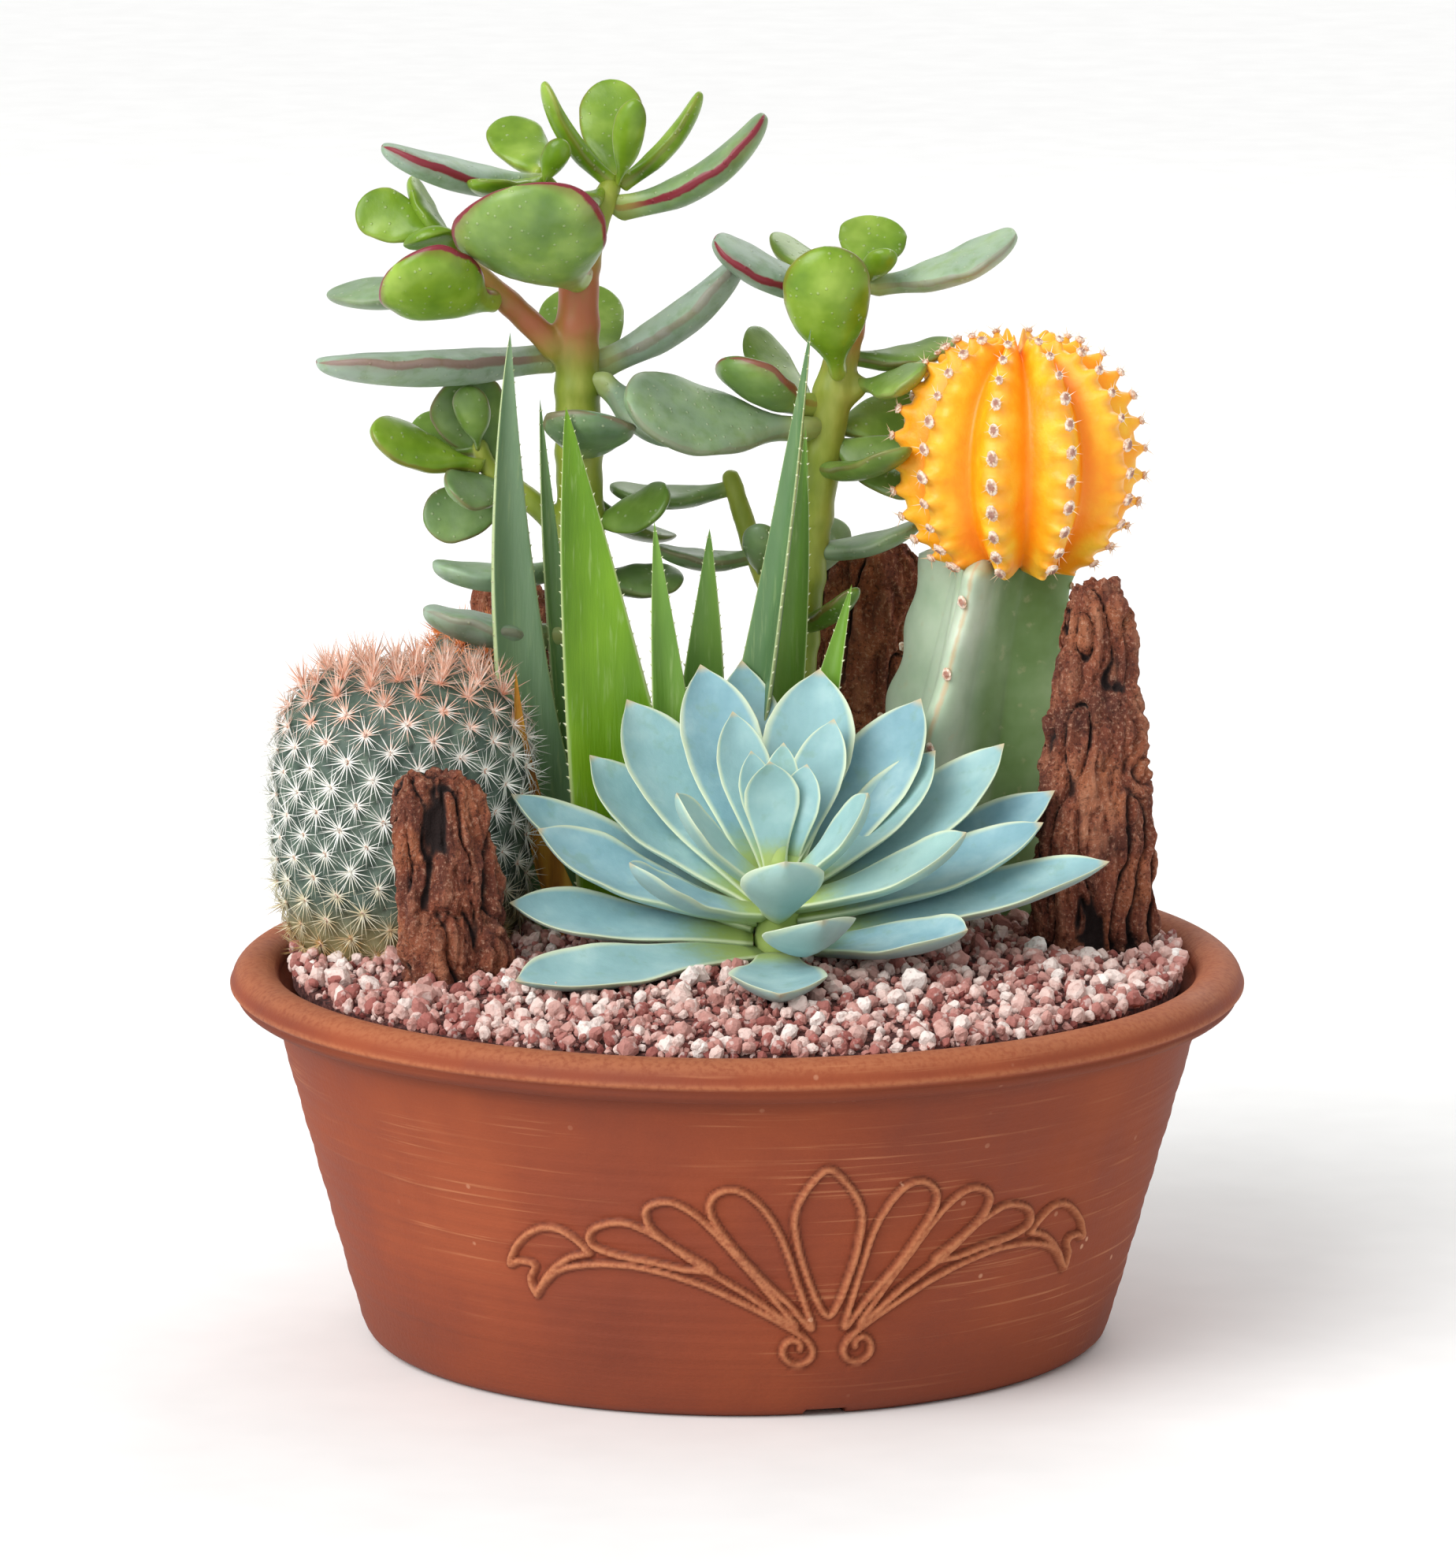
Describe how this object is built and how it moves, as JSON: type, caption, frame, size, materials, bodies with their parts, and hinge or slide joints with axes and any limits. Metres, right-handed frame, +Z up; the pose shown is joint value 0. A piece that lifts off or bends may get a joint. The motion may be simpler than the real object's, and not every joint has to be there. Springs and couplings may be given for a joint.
{
  "type": "potted succulent arrangement",
  "caption": "Round terracotta bowl planted with an echeveria rosette, jade plants, an aloe, globe cacti and a grafted moon cactus among bark pieces and gravel.",
  "frame": {"origin": "centre of the bowl's foot ring, on the surface it stands on", "axes": "+Z up out of the bowl, -Y towards the front with the relief, +X to the right seen from the front"},
  "size_m": [0.2196, 0.2196, 0.269],
  "materials": {
    "terracotta": "unglazed fired clay, matte, with faint brush marks",
    "potting_mix": "dark loose mix",
    "gravel": "dry pinkish crushed gravel",
    "bark": "rough, fissured and matte",
    "cactus_body": "waxy skin with pale spines",
    "graft_stock_skin": "waxy grey-green skin",
    "moon_cactus_skin": "waxy orange skin",
    "aloe_leaf": "smooth, slightly glossy leaf",
    "dry_leaf": "dry, papery and matte",
    "jade_leaf": "glossy fleshy leaf with red margin",
    "jade_stem": "smooth fleshy stem",
    "echeveria_leaf": "matte powdery bloom"
  },
  "bodies": {
    "root": {"aloe_leaf_broad": "aloe_leaf", "aloe_leaf_dry": "dry_leaf", "aloe_leaf_left_back": "aloe_leaf", "aloe_leaf_left_tall": "aloe_leaf", "aloe_leaf_mid_back": "aloe_leaf", "aloe_leaf_mid_front": "aloe_leaf", "aloe_leaf_right_light": "aloe_leaf", "aloe_leaf_right_small": "aloe_leaf", "aloe_leaf_right_tall": "aloe_leaf", "bark_back_left": "bark", "bark_back_right": "bark", "bark_front": "bark", "bark_right": "bark", "echeveria_heart": "echeveria_leaf", "echeveria_leaf_01": "echeveria_leaf", "echeveria_leaf_02": "echeveria_leaf", "echeveria_leaf_03": "echeveria_leaf", "echeveria_leaf_04": "echeveria_leaf", "echeveria_leaf_05": "echeveria_leaf", "echeveria_leaf_06": "echeveria_leaf", "echeveria_leaf_07": "echeveria_leaf", "echeveria_leaf_08": "echeveria_leaf", "echeveria_leaf_09": "echeveria_leaf", "echeveria_leaf_10": "echeveria_leaf", "echeveria_leaf_11": "echeveria_leaf", "echeveria_leaf_12": "echeveria_leaf", "echeveria_leaf_13": "echeveria_leaf", "echeveria_leaf_14": "echeveria_leaf", "echeveria_leaf_15": "echeveria_leaf", "echeveria_leaf_16": "echeveria_leaf", "echeveria_leaf_17": "echeveria_leaf", "echeveria_leaf_18": "echeveria_leaf", "echeveria_leaf_19": "echeveria_leaf", "globe_cactus": "cactus_body", "globe_cactus_small": "cactus_body", "graft_stock": "graft_stock_skin", "gravel_top_dressing": "gravel", "jade_leaf_left_base": "jade_leaf", "jade_leaf_left_drop": "jade_leaf", "jade_leaf_left_far": "jade_leaf", "jade_leaf_left_front": "jade_leaf", "jade_leaf_left_horn": "jade_leaf", "jade_leaf_left_long": "jade_leaf", "jade_leaf_left_low": "jade_leaf", "jade_leaf_left_olive": "jade_leaf", "jade_leaf_left_pale": "jade_leaf", "jade_leaf_left_red": "jade_leaf", "jade_leaf_left_top": "jade_leaf", "jade_leaf_left_under": "jade_leaf", "jade_leaf_left_wing": "jade_leaf", "jade_leaf_right_olive": "jade_leaf", "jade_leaf_right_oval": "jade_leaf", "jade_leaf_right_tall": "jade_leaf", "jade_leaf_right_tip": "jade_leaf", "jade_leaf_right_wing": "jade_leaf", "jade_stem_left": "jade_stem", "jade_stem_right": "jade_stem", "moon_cactus": "moon_cactus_skin", "pot": "terracotta", "potting_mix": "potting_mix"}
  },
  "joints": []
}
